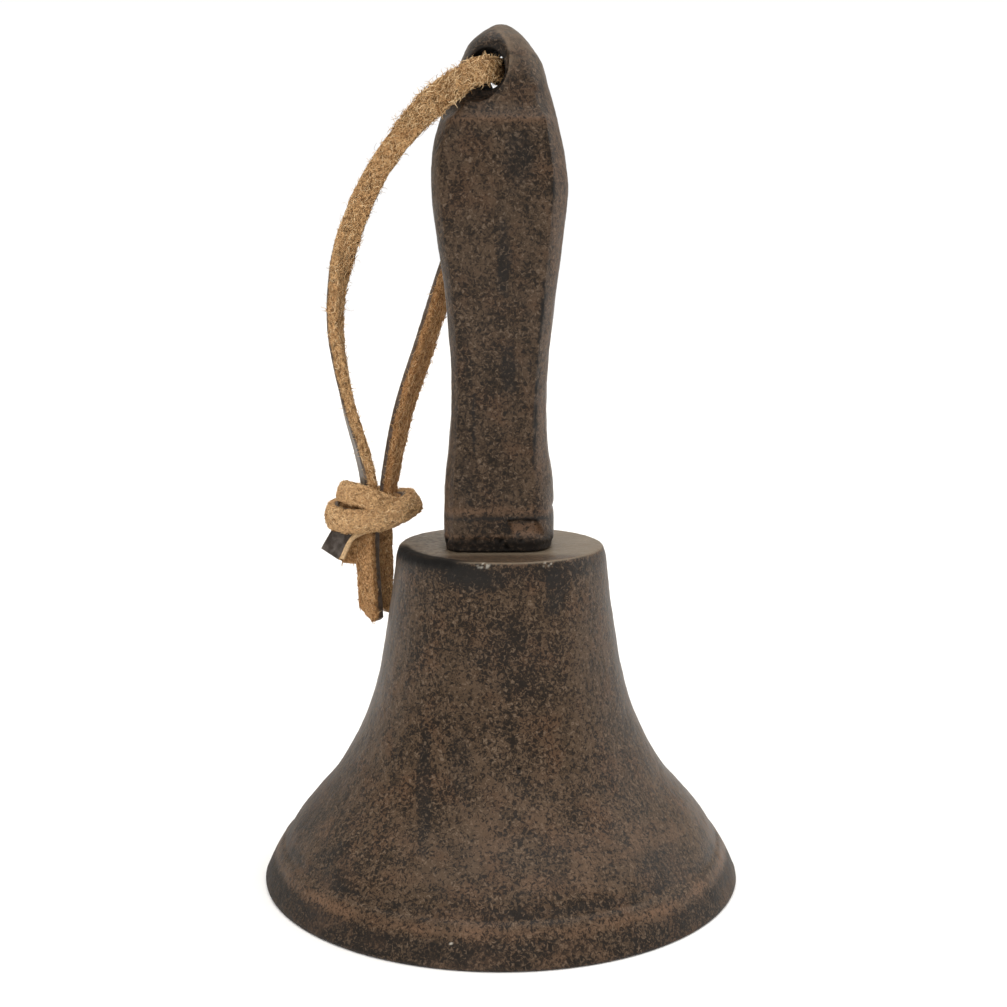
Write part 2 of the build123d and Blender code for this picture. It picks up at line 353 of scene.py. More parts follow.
def fibre_material(name):
    """Loose fibres of the nap, each with its own shade."""
    m = Material(name)
    shade = m.attribute("shade")
    colour = m.mix(m.ramp(shade, 0.0, 0.55), (0.19, 0.094, 0.034), (0.64, 0.4, 0.19))
    colour = m.mix(m.ramp(shade, 0.6, 1.0), colour, (0.92, 0.69, 0.41))
    # Painted shade darkening the fibres
    colour = m.mix(m.attribute("deep"), colour, (0.7, 0.58, 0.48), "MULTIPLY")
    return m.finish(colour, 0.8, Specular_IOR_Level=0.2)


bell_iron = cast_iron("bell_cast_iron", tone=(1.05, 0.99, 0.95))
handle_iron = cast_iron(
    "handle_cast_iron", streak=0.3, grain=0.62, mottle=0.32, edge=(0.32, 0.61), tone=(0.96, 0.92, 0.91)
)
ball_iron = cast_iron("clapper_cast_iron", streak=1.0)
steel = zinc_steel("zinc_steel")
wire = black_wire("clapper_wire")
lace_suede = suede("lace_suede")
lace_fibre = fibre_material("lace_fibre")

# ---- Lace: routes
LACE_WIDTH = 4.6
LACE_THICKNESS = 2.2
STRAP_CORNER = 0.34
STRAP_STEP = 0.2
OUTLINE_POINTS_PER_MM = 5.0
HOLE_X, HOLE_Z = -0.7, 147.1
# From the middle of the hole, out of the front of the head and down to the knot
FRONT_ROUTE = [
    (-0.7, 0.0, 147.3), (-0.7, -4.2, 147.3), (-1.9, -8.3, 146.2), (-5.0, -10.6, 143.9),
    (-9.0, -11.4, 140.8), (-13.4, -11.0, 136.6), (-18.6, -10.2, 131.4), (-23.4, -9.0, 124.4),
    (-27.2, -7.8, 116.8), (-29.8, -6.4, 109.0), (-30.8, -5.2, 101.4), (-30.2, -4.0, 93.8),
    (-29.2, -2.8, 86.4), (-27.4, -1.8, 79.6), (-26.2, -1.2, 73.6), (-25.9, -0.9, 69.4),
]
# The same out of the back of the head
REAR_ROUTE = [
    (-0.7, 0.0, 147.3), (-0.7, 4.2, 147.3), (-1.3, 8.4, 146.6), (-2.9, 11.2, 144.4),
    (-5.0, 12.5, 140.2), (-7.6, 12.6, 134.0), (-9.8, 11.6, 127.0), (-11.6, 9.8, 119.6),
    (-13.5, 7.6, 112.0), (-15.6, 6.0, 104.4), (-17.6, 4.6, 96.8), (-19.8, 3.4, 90.0),
    (-21.4, 2.6, 83.6), (-22.4, 1.9, 77.6), (-23.2, 1.4, 72.6), (-23.5, 1.2, 69.0),
]


def smooth_route(points):
    """Points in mm along the smooth spline with these control points."""
    curve = bpy.data.curves.new("route", "CURVE")
    curve.dimensions = "3D"
    curve.resolution_u = 32
    spline = curve.splines.new("NURBS")
    spline.points.add(len(points) - 1)
    for control, point in zip(spline.points, points):
        control.co = (*(np.array(point) * MM), 1)
    spline.order_u = 3
    spline.use_endpoint_u = True
    route = add_object("route", curve)
    bpy.context.view_layer.update()
    mesh = bpy.data.meshes.new_from_object(route)
    line = np.array([v.co for v in mesh.vertices]) / MM
    bpy.data.objects.remove(route)
    bpy.data.curves.remove(curve)
    bpy.data.meshes.remove(mesh)
    return line


def distances(line):
    """Distance of each point of a line from its start, measured along it."""
    gaps = np.linalg.norm(np.diff(line, axis=0), axis=1)
    return np.concatenate([[0], np.cumsum(gaps)])


def even_line(line, step):
    """The same line with points about step mm apart, and their distances from its start."""
    along = distances(line)
    wanted = np.linspace(0, along[-1], max(int(along[-1] / step), 2) + 1)
    return np.stack([np.interp(wanted, along, line[:, i]) for i in range(3)], axis=1), wanted


def strap_section(width, thickness, corner):
    """Closed outline of a strap as places across it and out of its flesh side."""
    x, y = width / 2 - corner, thickness / 2 - corner
    points = []
    corners = [(x, y, 0), (-x, y, 90), (-x, -y, 180), (x, -y, 270)]
    for (cx, cy, start), (nx, ny, _) in zip(corners, corners[1:] + corners[:1]):
        for angle in np.radians(np.linspace(start, start + 90, 4)):
            points.append((cx + corner * math.cos(angle), cy + corner * math.sin(angle)))
        last = np.array(points[-1])
        turned = math.radians(start + 90)
        after = np.array((nx + corner * math.cos(turned), ny + corner * math.sin(turned)))
        count = max(int(np.linalg.norm(after - last) * OUTLINE_POINTS_PER_MM), 2)
        for share in np.arange(1, count) / count:
            points.append(tuple(last + (after - last) * share))
    return np.array(points)


def flesh_directions(along, tangent, flesh):
    """Directions out of the flesh side along a line, square to it, eased between the given ones."""
    shares = np.array([share for share, _ in flesh])
    ways = unit(np.array([way for _, way in flesh], float))
    way = np.stack([np.interp(along / along[-1], shares, ways[:, i]) for i in range(3)], axis=1)
    for _ in range(8):
        way[1:-1] = (way[:-2] + way[1:-1] * 2 + way[2:]) / 4
    return unit(way - tangent * (way * tangent).sum(axis=1)[:, None])


def strap_ends(section, rows):
    """Strips between the flesh side and the grain side that close both ends of a strap."""
    count = len(section)
    mirror = np.linalg.norm(section[:, None] - (section * [1, -1])[None], axis=2).argmin(axis=1)
    strips = []
    for i in range(count):
        j = (i + 1) % count
        if section[i, 1] > -1e-6 and section[j, 1] > -1e-6:
            strip = list(dict.fromkeys([i, j, int(mirror[j]), int(mirror[i])]))
            if len(strip) > 2:
                strips += [strip, [(rows - 1) * count + index for index in reversed(strip)]]
    return strips


def strap(line, flesh, seed, width=LACE_WIDTH, thickness=LACE_THICKNESS, nap=((0, 1), (1, 1)),
          swell=None, tip=None, dome=0.0, hide=0.16, deep=0.0, light=0.0, hollows=0.8):
    """A napped leather strap along a line.

    flesh gives the flesh side's direction at shares of the length, nap and swell the nap's height and
    the width at shares of the length, tip how far the end is cut back at each distance across, dome the
    flesh side's crown, hide the share of the edge that is grain-coloured, deep how much painted shade
    darkens the whole nap, light how pale it is, and hollows how much painted shade lies in its hollows.
    Returns points, faces, attributes and what the fibres need: places, normals, grain, directions.
    """
    centre, along = even_line(line, STRAP_STEP)
    share_along = along / along[-1]
    tangent = unit(np.gradient(centre, axis=0))
    out = flesh_directions(along, tangent, flesh)
    side = np.cross(tangent, out)
    section = strap_section(width, thickness, STRAP_CORNER)
    section[:, 1] += dome * (1 - (2 * section[:, 0] / width) ** 2) * (section[:, 1] / thickness + 0.5)
    size = 1 + 0.035 * noise(np.stack([along, along * 0, along * 0 + seed * 9.1], 1), 6.0, seed)
    if swell is not None:
        size = size * np.interp(share_along, *zip(*swell))
    across = section[:, 0][None, :] * size[:, None]
    rows, count = len(along), len(section)
    shift = np.zeros_like(across)
    if tip is not None:
        shift = tip(across) * np.clip(share_along * 2 - 1, 0, 1)[:, None]
    grid = centre[:, None] - tangent[:, None] * shift[..., None] + side[:, None] * across[..., None]
    grid += out[:, None] * section[:, 1, None]
    places, normals = grid.reshape(-1, 3), grid_normals(grid).reshape(-1, 3)
    # The grain side and the part of the edge next to it carry no nap
    depth = np.tile(section[:, 1] / thickness + 0.5, (rows, 1))
    grain_line = hide + 0.1 * noise(places, 2.6, seed + 4).reshape(depth.shape)
    grain = smoothstep(depth, grain_line + 0.05, grain_line - 0.05)
    grain = np.maximum(grain * 0.92, smoothstep(depth, 0.1, 0.02)).reshape(-1)
    lumps = layered(places, (1.5, 0.72, 0.4), (0.1, 0.17, 0.12), seed)
    nap_here = np.interp(share_along, *zip(*nap)).repeat(count)
    moved = places + normals * (lumps * (1 - grain * 0.9) * nap_here)[:, None]
    moved += normals * (noise(places, (2.2, 2.2, 0.9), seed + 7) * 0.03 * grain)[:, None]
    faces = ring_faces(rows, count).tolist() + strap_ends(section, rows)
    pale = np.clip(nap_here - 1, 0, 1) * smoothstep(lumps, 0.0, 0.2) * 0.5 + light
    # hollow: painted shade in the nap's hollows
    attributes = {
        "grain": grain, "hollow": smoothstep(-lumps, 0.02, 0.2) * (1 - grain) * hollows,
        "pale": np.clip(pale, 0, 1), "deep": np.full(len(moved), deep),
    }
    return moved, faces, attributes, (moved, normals, grain, np.repeat(tangent, count, axis=0))


def merged(parts):
    """Several (points, faces, attributes, ...) put together as one mesh."""
    points, faces, attributes, offset = [], [], {}, 0
    for part in parts:
        points.append(part[0])
        faces += [[index + offset for index in face] for face in part[1]]
        for key, values in part[2].items():
            attributes.setdefault(key, []).append(values)
        offset += len(part[0])
    return np.concatenate(points), faces, {key: np.concatenate(v) for key, v in attributes.items()}


front_line = smooth_route(FRONT_ROUTE)
rear_line = smooth_route(REAR_ROUTE)


def turning(line, stops):
    """Flesh directions from (height, degrees) stops: 0 degrees faces the front and 90 the right."""
    along = distances(line)
    flesh = []
    for height, degrees in stops:
        angle = math.radians(degrees)
        share = along[np.argmax(line[:, 2] < height)] / along[-1]
        flesh.append((share, ACROSS * math.sin(angle) - AWAY * math.cos(angle)))
    return flesh


front_flesh = [(0.0, (1, 0, 0)), (0.035, (1, 0, 0)), (0.07, (0.9, -0.45, 0.1)), (0.105, (0.5, -0.85, 0.2))]
front_flesh += turning(front_line, [
    (142, 4), (130, 8), (120, 18), (116, 42), (111, 66), (105, 78), (98, 87), (91, 97), (84, 104),
    (75, 109), (69.5, 110),
])
rear_flesh = [(0.0, (1, 0, 0)), (0.04, (1, 0, 0)), (0.12, (1, 0.1, 0))]
rear_flesh += turning(rear_line, [(134, 66), (110, 61), (95, 61), (84, 66), (75, 73), (69.2, 78)])
# The front run: a little painted shade all over and the most painted shade in its nap's hollows
front_leg = strap(
    front_line, front_flesh, seed=3, nap=((0, 2.1), (0.16, 2.1), (0.24, 1), (1, 1)), hollows=1.0, deep=0.1,
    swell=[(0, 0.74), (0.08, 0.76), (0.14, 0.86), (0.2, 0.9), (0.28, 0.82), (0.6, 0.88), (1, 0.98)],
)
# The rear run is painted darker all over: painted shade on a run that faces away from the light
rear_leg = strap(rear_line, rear_flesh, seed=8, swell=[(0, 0.92), (1, 0.95)], deep=0.85, hide=0.42)

# ---- Lace: knot, in its own directions (across, away, up) from its centre
KNOT_CENTRE = np.array([-26.0, 0.0, 67.6])
KNOT_WIDTH_TO_DEPTH = 2.6


def knot_line(points):
    """A smooth line from points (across, away, up) from the knot's centre."""
    return smooth_route([KNOT_CENTRE + ACROSS * u + AWAY * w + UP * z for u, w, z in points])


def outward(line, lifts):
    """Flesh directions pointing away from the knot's upright axis, tilted up by the lifts."""
    flesh = []
    even, _ = even_line(line, 0.3)
    for share in np.linspace(0, 1, 25):
        point = even[int(round(share * (len(even) - 1)))] - KNOT_CENTRE
        way = ACROSS * (point @ ACROSS / KNOT_WIDTH_TO_DEPTH) + AWAY * (point @ AWAY)
        lift = np.interp(share, np.linspace(0, 1, len(lifts)), lifts)
        flesh.append((share, way / np.linalg.norm(way) + UP * lift))
    return flesh


low_wrap_line = knot_line([
    (-2.6, 3.4, 0.4), (-5.2, 2.8, 0.0), (-7.0, 1.4, -0.5), (-7.6, -0.8, -1.1), (-5.9, -2.8, -1.5),
    (-3.2, -3.9, -1.7), (0.0, -4.3, -1.5), (3.2, -4.0, -0.8), (5.5, -3.1, 0.2), (7.0, -1.6, 1.1),
    (7.7, 0.3, 1.5), (6.9, 2.2, 1.5), (4.4, 3.3, 1.2), (0.8, 3.6, 0.8), (-2.6, 3.3, 0.3),
])
high_wrap_line = knot_line([
    (1.6, 2.4, 2.0), (-1.8, 2.8, 2.3), (-4.2, 2.1, 2.8), (-5.2, 0.5, 3.3), (-4.9, -1.5, 3.6),
    (-3.2, -3.2, 3.4), (-1.0, -4.0, 2.9), (1.6, -4.0, 1.9), (3.8, -3.1, 0.9), (5.2, -1.4, 0.0),
    (5.0, 0.8, -0.6),
])
low_wrap = strap(
    low_wrap_line, outward(low_wrap_line, [0, 0, 0.05, 0.1, 0.2, 0.5, 0.6, 0.3]), seed=21, width=4.4,
    dome=0.55, hide=0.42, light=0.14, hollows=0.35,
)
high_wrap = strap(
    high_wrap_line, outward(high_wrap_line, [0.1, 0.3, 0.35, 0.25, 0.1]), seed=25, width=4.0,
    dome=0.45, light=0.08, hollows=0.4,
)


def lump(centre, radii, seed, rows=40, columns=64):
    """A closed, uneven ball of leather that fills the knot's heart."""
    polar = np.linspace(0.02, math.pi - 0.02, rows)[:, None]
    turn = np.linspace(0, 2 * math.pi, columns, endpoint=False)
    ball = np.stack(np.broadcast_arrays(
        np.sin(polar) * np.cos(turn), np.sin(polar) * np.sin(turn), np.cos(polar)
    ), axis=-1)
    flat = centre + (ball * radii).reshape(-1, 3) @ np.array([ACROSS, AWAY, UP])
    flat = flat + unit(flat - centre) * layered(flat, (2.0, 0.8), (0.2, 0.15), seed)[:, None]
    faces = ring_faces(rows, columns).tolist()
    points = np.concatenate([flat, [flat[:columns].mean(0)], [flat[-columns:].mean(0)]])
    for i in range(columns):
        j = (i + 1) % columns
        faces.append([i, j, len(flat)])
        faces.append([(rows - 1) * columns + j, (rows - 1) * columns + i, len(flat) + 1])
    blank = np.zeros(len(points))
    # Painted shade over the whole heart
    return points, faces, {"grain": blank, "hollow": blank + 0.35, "pale": blank, "deep": blank + 0.5}


heart = lump(KNOT_CENTRE + UP * 0.4 + ACROSS * 0.5, (7.0, 3.2, 3.5), 31)


def short_strap(points, first, last=None, **settings):
    """A strap along a line from the knot, its flesh side facing one way or turning from first to last."""
    return strap(knot_line(points), [(0, first), (1, first if last is None else last)], **settings)


def tail_tip(lean):
    """How far the end is cut back at each distance across the strap, to a point lean mm off its middle."""
    return lambda across: 0.75 * np.abs(across - lean)


# Two short cut ends beside the knot: one shows its grain side, the one behind its flesh side
grain_stub = short_strap(
    [(-3.4, -0.5, -1.0), (-5.0, -0.9, -3.6), (-6.3, -1.3, -6.0), (-7.7, -1.6, -8.4)],
    AWAY + ACROSS * 0.6, AWAY + ACROSS * 0.65, seed=41, width=4.5, nap=((0, 0.6), (1, 0.6)),
)
flesh_stub = short_strap(
    [(-2.2, 0.6, -2.0), (-3.0, 0.8, -5.0), (-3.7, 0.8, -8.0), (-4.0, 0.8, -10.4)],
    -AWAY + ACROSS * 0.2, seed=43, width=4.0,
)
# The two tails, cut to leaning points
# Both tails painted darker all over: painted shade
front_tail = short_strap(
    [(-0.9, -0.4, -2.0), (-1.1, -0.8, -8.0), (-0.7, -0.9, -14.0), (-0.3, -0.8, -21.4)],
    -AWAY - ACROSS * 0.9, -AWAY - ACROSS * 0.95, seed=51, tip=tail_tip(-1.2), hide=0.55, deep=0.6,
)
rear_tail = short_strap(
    [(1.2, 1.6, -2.0), (1.3, 1.9, -8.0), (1.3, 1.9, -14.0), (1.2, 1.8, -20.6)],
    -AWAY + ACROSS * 0.9, seed=55, tip=tail_tip(-1.6), hide=0.3, deep=0.3,
)
# A thin sliver of the lace's edge that has come loose in front
strand = short_strap(
    [(-0.2, -3.3, -3.0), (-2.0, -3.3, -4.1), (-3.5, -3.3, -4.7), (-4.5, -3.2, -6.4), (-5.6, -3.1, -8.9)],
    -AWAY, seed=57, width=0.95, thickness=0.75, nap=((0, 0.4), (1, 0.4)), hide=0.0, light=0.5, hollows=0.2,
)


# ---- Lace: loose fibres
def fibres(surface, count, seed, length=(0.5, 1.5), radius=0.055, spread=0.6, rise=0.25, deep=0.0,
           among=None, segments=5):
    """Curled tapering fibres lying mostly along the strap, on its napped part, where among is true."""
    places, normals, grain, directions = surface
    random = np.random.RandomState(seed)
    allowed = grain < 0.35
    if among is not None:
        allowed = allowed & among(places)
    roots = random.choice(np.flatnonzero(allowed), count)
    normal = normals[roots]
    turn = (random.normal(size=count) * spread + np.pi * random.randint(0, 2, count))[:, None]
    flat = unit(directions[roots] - normal * (directions[roots] * normal).sum(axis=1)[:, None])
    heading = flat * np.cos(turn) + np.cross(normal, flat) * np.sin(turn)
    sideways = np.cross(normal, heading)
    size = random.uniform(*length, count)[:, None]
    bend = random.uniform(-0.5, 0.5, count)[:, None]
    curl = random.uniform(0.04, 0.16, count)[:, None]
    phase = random.uniform(0, 2 * np.pi, count)[:, None]
    lift = random.uniform(0.15, 1.0, count)[:, None] * rise
    steps = np.linspace(0, 1, segments + 1)
    line = np.stack([
        places[roots] - normal * 0.04
        + heading * size * t
        + sideways * size * (bend * t * t + curl * np.sin(2 * np.pi * t * 1.2 + phase))
        + normal * size * lift * t * (1.5 - t)
        for t in steps
    ], axis=1)
    way = unit(np.gradient(line, axis=1))
    first = unit(np.cross(way, unit(random.normal(size=(count, 1, 3)))))
    second = np.cross(way, first)
    thick = radius * random.uniform(0.6, 1.4, count)[:, None, None] * (1 - 0.6 * steps**2)[None, :, None]
    corners = [corner * 2 * math.pi / 3 for corner in range(3)]
    rings = [line + thick * (first * math.cos(turned) + second * math.sin(turned)) for turned in corners]
    vertices = np.stack(rings, axis=2).reshape(-1, 3)
    per_fibre = (segments + 1) * 3
    sides = ring_faces(segments + 1, 3)[:, ::-1]
    ends = np.array([[2, 1, 0], [segments * 3, segments * 3 + 1, segments * 3 + 2]])
    base = (np.arange(count) * per_fibre)[:, None, None]
    faces = (sides[None] + base).reshape(-1, 4).tolist() + (ends[None] + base).reshape(-1, 3).tolist()
    shade = np.repeat(random.uniform(0, 1, count), per_fibre)
    return vertices, faces, {"shade": shade, "deep": np.full(len(shade), deep)}


def lace_piece(name, parts, replaced=(), material=lace_suede):
    """Straps or fibres made into one piece of the lace."""
    points, faces, attributes = merged(parts)
    return make_piece(name, points, faces, "lace", material, replaced, attributes)


front_piece = lace_piece("lace_front_strap", [front_leg], ["lace_front_run"])
rear_piece = lace_piece("lace_rear_strap", [rear_leg], ["lace_rear_run"])
knot_piece = lace_piece(
    "lace_overhand_knot", [low_wrap, high_wrap, heart, grain_stub, flesh_stub, strand], ["lace_knot"]
)
front_tail_piece = lace_piece("lace_front_end", [front_tail], ["lace_front_tail"])
rear_tail_piece = lace_piece("lace_rear_end", [rear_tail], ["lace_rear_tail"])


def near_hole_part(places):
    """True on the front run's first bend out of the hole, where the nap is longest."""
    return (places[:, 2] > 137) & (places[:, 1] < -2)


front_fuzz = lace_piece("lace_front_nap", [
    fibres(front_leg[3], 6600, 61), fibres(front_leg[3], 70, 62, (1.4, 2.4), 0.035, 1.2, 0.6),
    fibres(front_leg[3], 2000, 60, (0.8, 2.0), 0.06, 1.1, 0.5, among=near_hole_part),
], material=lace_fibre)
# The rear run's fibres painted darker too: painted shade
rear_fuzz = lace_piece("lace_rear_nap", [
    fibres(rear_leg[3], 5600, 63, deep=0.6), fibres(rear_leg[3], 50, 64, (1.2, 2.0), 0.035, 1.2, 0.6, 0.6),
], material=lace_fibre)
knot_fuzz = lace_piece("lace_knot_nap", [
    fibres(low_wrap[3], 2600, 65, (0.4, 1.1), rise=0.15),
    fibres(high_wrap[3], 1500, 66, (0.4, 1.1), rise=0.15),
    # Fibres on the front tail and the stub behind painted darker: painted shade
    fibres(front_tail[3], 1000, 67, (0.4, 1.0), rise=0.12, deep=0.55),
    fibres(rear_tail[3], 900, 68, (0.4, 1.0), rise=0.12, deep=0.15),
    fibres(flesh_stub[3], 400, 69, (0.4, 1.0), rise=0.12, deep=0.6),
], material=lace_fibre)

# ---- Bell shell
BELL_HEIGHT = 62.7
CROWN_UNDERSIDE = 59.5
CROWN_HOLE_RADIUS = 2.7
BELL_COLUMNS = 640
# Outline as (radius, height), from the crown's top round the lip to the crown's underside
CROWN_EDGE = [(18.2, 62.7), (18.55, 62.64), (18.82, 62.4), (19.0, 61.9)]
OUTER_FLARE = [
    (19.0, 61.9), (19.35, 60.5), (19.6, 58.0), (20.1, 54.0), (20.7, 50.0), (22.4, 40.0), (24.6, 32.0),
    (27.7, 25.0), (31.4, 19.0), (35.7, 14.0), (38.6, 10.4), (40.35, 7.5),
]
LIP = [
    (40.35, 7.5), (40.6, 7.1), (40.85, 6.85), (41.15, 6.6), (41.5, 6.15), (41.85, 5.6), (42.2, 5.0),
    (42.9, 3.7), (43.6, 2.2), (44.1, 1.1), (44.35, 0.5), (44.3, 0.15), (44.0, 0.0),
]
INNER_FLARE = [
    (40.8, 0.0), (40.3, 1.6), (38.4, 5.2), (34.9, 10.2), (28.9, 17.2), (22.8, 28.2), (19.5, 39.4),
    (17.6, 50.0), (16.9, 56.0),
]
CROWN_INSIDE = [(16.9, 56.0), (16.5, 58.0), (15.6, 59.0), (14.2, 59.45), (12.8, 59.5)]


def through(points, step):
    """A smooth curve through points, sampled about every step mm: a centripetal Catmull-Rom spline."""
    points = np.array(points, float)
    padded = np.concatenate([[2 * points[0] - points[1]], points, [2 * points[-1] - points[-2]]])
    curve = []
    for a, b, c, d in zip(padded, padded[1:], padded[2:], padded[3:]):
        count = max(int(np.linalg.norm(c - b) / step), 1)
        gap = [max(np.linalg.norm(q - p), 1e-6) ** 0.5 for p, q in ((a, b), (b, c), (c, d))]
        start = (b - a) / gap[0] - (c - a) / (gap[0] + gap[1]) + (c - b) / gap[1]
        end = (c - b) / gap[1] - (d - b) / (gap[1] + gap[2]) + (d - c) / gap[2]
        start, end = start * gap[1], end * gap[1]
        for t in np.arange(count) / count:
            curve.append(
                (2 * t**3 - 3 * t**2 + 1) * b + (t**3 - 2 * t**2 + t) * start
                + (3 * t**2 - 2 * t**3) * c + (t**3 - t**2) * end
            )
    curve.append(points[-1])
    return np.array(curve)


def level(start, end, height, count):
    """Outline points of a level face between two radii."""
    return np.stack([np.linspace(start, end, count), np.full(count, height)], 1)


def placed(points):
    """How far each point lies across, towards the front and up, along the handle's faces."""
    return points @ ACROSS, -(points @ AWAY), points[:, 2]


def stains(points, table):
    """Soft ragged blotches as seen from the front, from rows of centre, half sizes, strength and seed."""
    across, _, up = placed(points)
    total = np.zeros(len(points))
    for centre, radii, strength, seed in table:
        far = np.hypot((across - centre[0]) / radii[0], (up - centre[1]) / radii[1])
        far += layered(points, (3.0, 1.0), (0.3, 0.18), seed)
        total += smoothstep(far, 1.15, 0.55) * strength
    return total


outline = np.concatenate([
    level(CROWN_HOLE_RADIUS, 18.0, BELL_HEIGHT, 40), through(CROWN_EDGE, 0.18)[:-1],
    through(OUTER_FLARE, 0.36)[:-1], through(LIP, 0.16), level(43.6, 41.0, 0.0, 8),
    through(INNER_FLARE, 0.8)[:-1], through(CROWN_INSIDE, 0.5)[:-1],
    level(12.5, CROWN_HOLE_RADIUS, CROWN_UNDERSIDE, 16),
])
turns = np.linspace(0, 2 * math.pi, BELL_COLUMNS, endpoint=False)
bell_grid = np.stack(np.broadcast_arrays(
    outline[:, :1] * np.cos(turns), outline[:, :1] * np.sin(turns), outline[:, 1:]
), axis=-1)
bell_faces = ring_faces(len(outline), BELL_COLUMNS, closed_rows=True)
places, out = bell_grid.reshape(-1, 3), grid_normals(bell_grid, closed_rows=True).reshape(-1, 3)
radius = np.hypot(places[:, 0], places[:, 1])
outside = out[:, 0] * places[:, 0] + out[:, 1] * places[:, 1] >= 0
relief = layered(places, (26, 9, 3.2, 1.3, 0.7), (0.16, 0.12, 0.05, 0.035, 0.022), 2)
relief = np.where(outside, relief, np.minimum(relief, 0.05))
relief *= smoothstep(radius, 9.5, 12.0) * smoothstep(places[:, 2], 0.0, 1.2)

# Painted marks: rust on the lip's bead and the flare, dark streaks and blotches, painted shade in the groove
# above the bead and on the bell's left and lip, a painted shadow on the shoulder's left, a painted reflection
# of the handle and painted sheen and highlights on the crown
across, toward, up = placed(places)
bearing = np.degrees(np.arctan2(across, toward))
front = (toward > 0) * outside
patchy = noise(places, (7, 7, 3), 46)
speckle = layered(places, (0.9, 4.0), (0.5, 0.5), 48)
fleck_field = noise(places, 0.6, 53)
bead = peak(up - 5.5, 0.7) * (0.6 + 0.7 * patchy) * outside
below_bead = smoothstep(up, 4.6, 3.4) * smoothstep(bearing, 10, -25) * (0.4 + 0.7 * patchy)
# Painted highlight: a thin light line round the crown's rim
rim_highlight = peak(radius - 18.55, 0.22) * (up > 62.3) * smoothstep(speckle, -0.1, 0.4)
flare_rust = smoothstep(up, 30, 16) * smoothstep(patchy, 0.0, 0.6) * outside
# Painted reflection of the dark handle on the crown's top, in front of it
handle_reflection = smoothstep(toward, 9.5, 13.5) * smoothstep(up, 62.4, 62.65) * (radius < 18.3)
left_disc = smoothstep(bearing, -25, -55) * smoothstep(bearing, -165, -130)
# Painted shade on the bell's left side and on the flanks of the lip
left_shade = smoothstep(bearing, -48, -78) * smoothstep(bearing, -165, -120) * smoothstep(up, 34, 16)
lip_shade = smoothstep(up, 5.2, 3.8) * smoothstep(np.abs(bearing), 28, 52) * (toward > 0)
# Painted shadow on the rounded edge of the shoulder at the left
shoulder_shadow = (
    smoothstep(bearing, -92, -74) * smoothstep(bearing, -14, -30) * smoothstep(radius, 16.6, 17.6)
    * smoothstep(up + 0.6 * speckle, 60.4, 61.8)
)
# A dent at the front, darkened inside by painted shade
pit = smoothstep(np.hypot(across - 3.1, (up - 28.2) * 1.5), 0.62, 0.25) * front
dark = stains(places, [
    ((-13.2, 24), (1.5, 9), 0.8, 41), ((-7.0, 28), (2.4, 6), 0.45, 45), ((9.4, 57.5), (2.2, 4.2), 0.9, 42),
    ((-5.0, 59.5), (5.5, 2.4), 0.8, 43), ((2.0, 46), (8.0, 7), 0.3, 44),
    ((-28.5, 10.5), (4.6, 3.4), 0.6, 47), ((27.5, 10.5), (4.6, 3.0), 0.6, 52),
])
# Darker under the crown's edge, painted shade in the groove above the lip's bead, and darker below the bead
dark += smoothstep(up + 1.2 * speckle, 58.0, 60.6) * smoothstep(up, 62.4, 61.8) * 0.7
dark += peak(up - 8.0, 0.6) * 0.6 + below_bead * 0.9 + smoothstep(up, 4.8, 3.6) * 0.45
# Painted sheen: the crown's top lighter, broken into specks, less on the left and in front of the handle
smooth_and_sheen = smoothstep(up, 62.35, 62.6) * outside * (1 - handle_reflection * 0.8)
smooth_and_sheen *= np.clip(0.85 + 0.3 * speckle - 0.6 * left_disc * smoothstep(fleck_field, 0.05, -0.15), 0, 1)
smooth_and_sheen *= 1 - np.clip(shoulder_shadow, 0, 1)
# Painted highlight along the front of the crown's rim
rim_shine = rim_highlight * smoothstep(bearing, -38, -22) * smoothstep(bearing, 60, 20) * 0.7
# Painted glints: bright flecks on the shoulder's edge and small specks under the bead
shoulder_glints = stains(places, [((-3.6, 62.2), (2.4, 0.5), 0.45, 49), ((8.2, 62.1), (0.9, 0.5), 0.45, 50)])
shoulder_glints *= smoothstep(fleck_field, 0.12, 0.35) * (toward > 0) * (radius > 18.3)
lip_glints = sum(
    smoothstep(np.hypot(across - x, up - z), size, size * 0.4)
    for x, z, size in ((-8.2, 3.9, 0.22), (-5.1, 3.9, 0.18), (3.4, 3.2, 0.16), (12.0, 4.2, 0.15))
) * front
make_piece(
    "bell_casting", places + out * (relief - pit * 0.35)[:, None], bell_faces.tolist(), "bell_and_handle",
    bell_iron, ["bell_shell"],
    {
        # Rust with a painted highlight and a painted reflection; patina with painted shade; painted sheen;
        # painted shade; painted glints
        "rust_and_painted_light": np.clip(bead + rim_highlight * 0.7 + flare_rust * 0.36 + handle_reflection * 0.25, 0, 1),
        "dark": dark * front + shoulder_shadow * 1.5 + handle_reflection * 0.5,
        "smooth_and_sheen": np.maximum(smooth_and_sheen, rim_shine),
        "painted_shade": np.clip(pit + shoulder_shadow * 0.75 + (left_shade * 0.22 + lip_shade * 0.2) * outside, 0, 1),
        "glint": np.clip(shoulder_glints + lip_glints * 0.7, 0, 1),
    },
)

